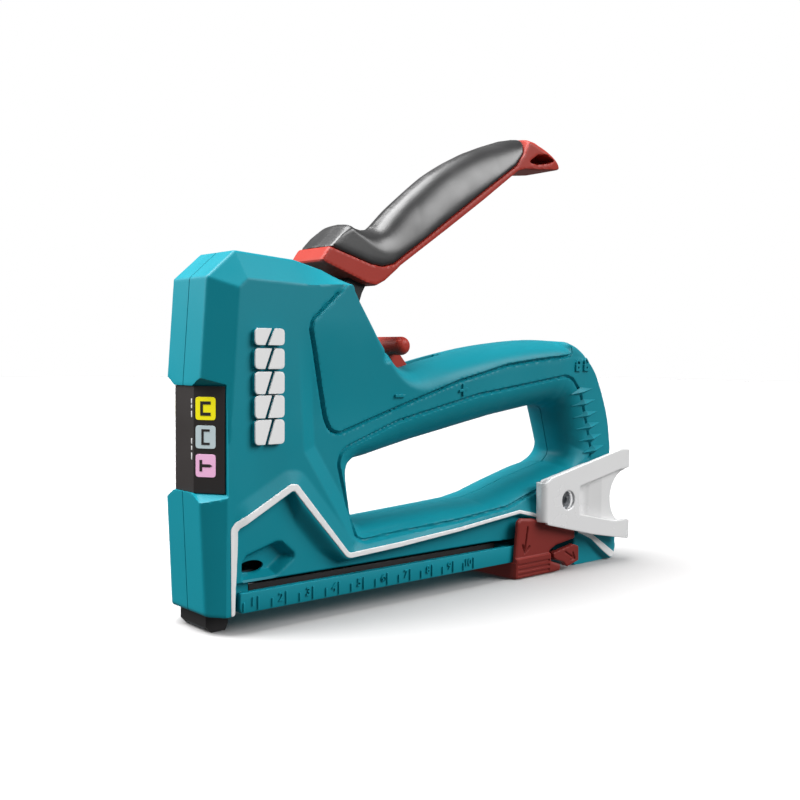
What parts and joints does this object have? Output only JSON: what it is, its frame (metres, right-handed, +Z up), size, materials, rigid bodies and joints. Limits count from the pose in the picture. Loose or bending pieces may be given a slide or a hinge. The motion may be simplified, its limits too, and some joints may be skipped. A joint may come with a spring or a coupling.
{
  "type": "staple gun",
  "caption": "Hand-held staple gun with a moulded D-handle body, squeeze lever, driver, drop-down magazine, force slide and belt hook.",
  "frame": {"origin": "on the bottom face of the nose foot, on the seam, just behind the driver slot", "axes": "+X from the nose to the rear of the tool, +Y across the tool away from the belt hook, +Z up"},
  "size_m": [0.1918, 0.0391, 0.1632],
  "materials": {
    "housing_plastic": "fine satin moulded plastic, teal",
    "red_plastic": "satin moulded plastic, red",
    "soft_grip": "soft-touch overmould, black",
    "black_plastic": "moulded plastic, black",
    "white_trim": "smooth moulded plastic, off-white",
    "label_film": "printed film, black with coloured fields",
    "hook_sheet": "bright plated sheet steel",
    "black_steel": "black oxide steel",
    "tool_steel": "ground steel",
    "spring_steel": "oiled spring wire",
    "staple_wire": "galvanised wire",
    "screw_steel": "zinc-plated steel",
    "bumper_rubber": "hard rubber"
  },
  "bodies": {
    "housing": {"left_housing_shell": "housing_plastic", "right_housing_shell": "housing_plastic", "nose_foot": "black_plastic", "front_label": "label_film", "left_emblem": "white_trim", "right_emblem": "white_trim", "left_stripe": "white_trim", "right_stripe": "white_trim", "housing_screws": "screw_steel", "belt_hook": "hook_sheet", "hook_screw": "screw_steel", "striker_guide": "tool_steel", "main_spring": "spring_steel", "spring_seat": "tool_steel", "bumper": "bumper_rubber", "lever_pin": "tool_steel", "lever_spring": "spring_steel", "magazine_pins": "tool_steel"},
    "lever": {"lever_core": "red_plastic", "lever_grip": "soft_grip", "lever_arm": "black_steel"},
    "striker": {"striker": "tool_steel", "driver_blade": "tool_steel"},
    "adjuster": {"force_adjuster": "red_plastic"},
    "magazine": {"magazine_body": "housing_plastic", "magazine_rail": "tool_steel", "magazine_grip": "red_plastic", "staple_stick": "staple_wire", "pusher_spring": "spring_steel", "latch_spring": "spring_steel"},
    "pusher": {"pusher": "tool_steel"},
    "latch": {"latch": "red_plastic"}
  },
  "joints": [
    {"name": "lever_hinge", "type": "hinge", "parent": "housing", "child": "lever", "pos_m": [0.048, 0, 0.095], "axis": [0, 1, 0], "range_deg": [0, 34], "stiffness_Nm_per_rad": 0.5, "springref_deg": -20.05},
    {"name": "striker_slide", "type": "slide", "parent": "housing", "child": "striker", "axis": [0, 0, 1], "range_m": [0, 0.016], "deforming": ["main_spring"]},
    {"name": "adjuster_slide", "type": "slide", "parent": "housing", "child": "adjuster", "axis": [0.9677, 0, 0.2521], "range_m": [0, 0.012]},
    {"name": "magazine_hinge", "type": "hinge", "parent": "housing", "child": "magazine", "pos_m": [0.007, 0, 0.0104], "axis": [0, 1, 0], "range_deg": [0, 25]},
    {"name": "latch_slide", "type": "slide", "parent": "magazine", "child": "latch", "axis": [1, 0, 0], "range_m": [0, 0.0015], "stiffness_N_per_m": 300, "springref_m": -0.003, "deforming": ["latch_spring"]},
    {"name": "pusher_slide", "type": "slide", "parent": "magazine", "child": "pusher", "axis": [1, 0, 0], "range_m": [0, 0.045], "stiffness_N_per_m": 20, "springref_m": -0.05, "deforming": ["pusher_spring"]}
  ],
  "couplings": [
    {"joint": "striker_slide", "follows": "lever_hinge", "m_per_rad": 0.02696}
  ]
}
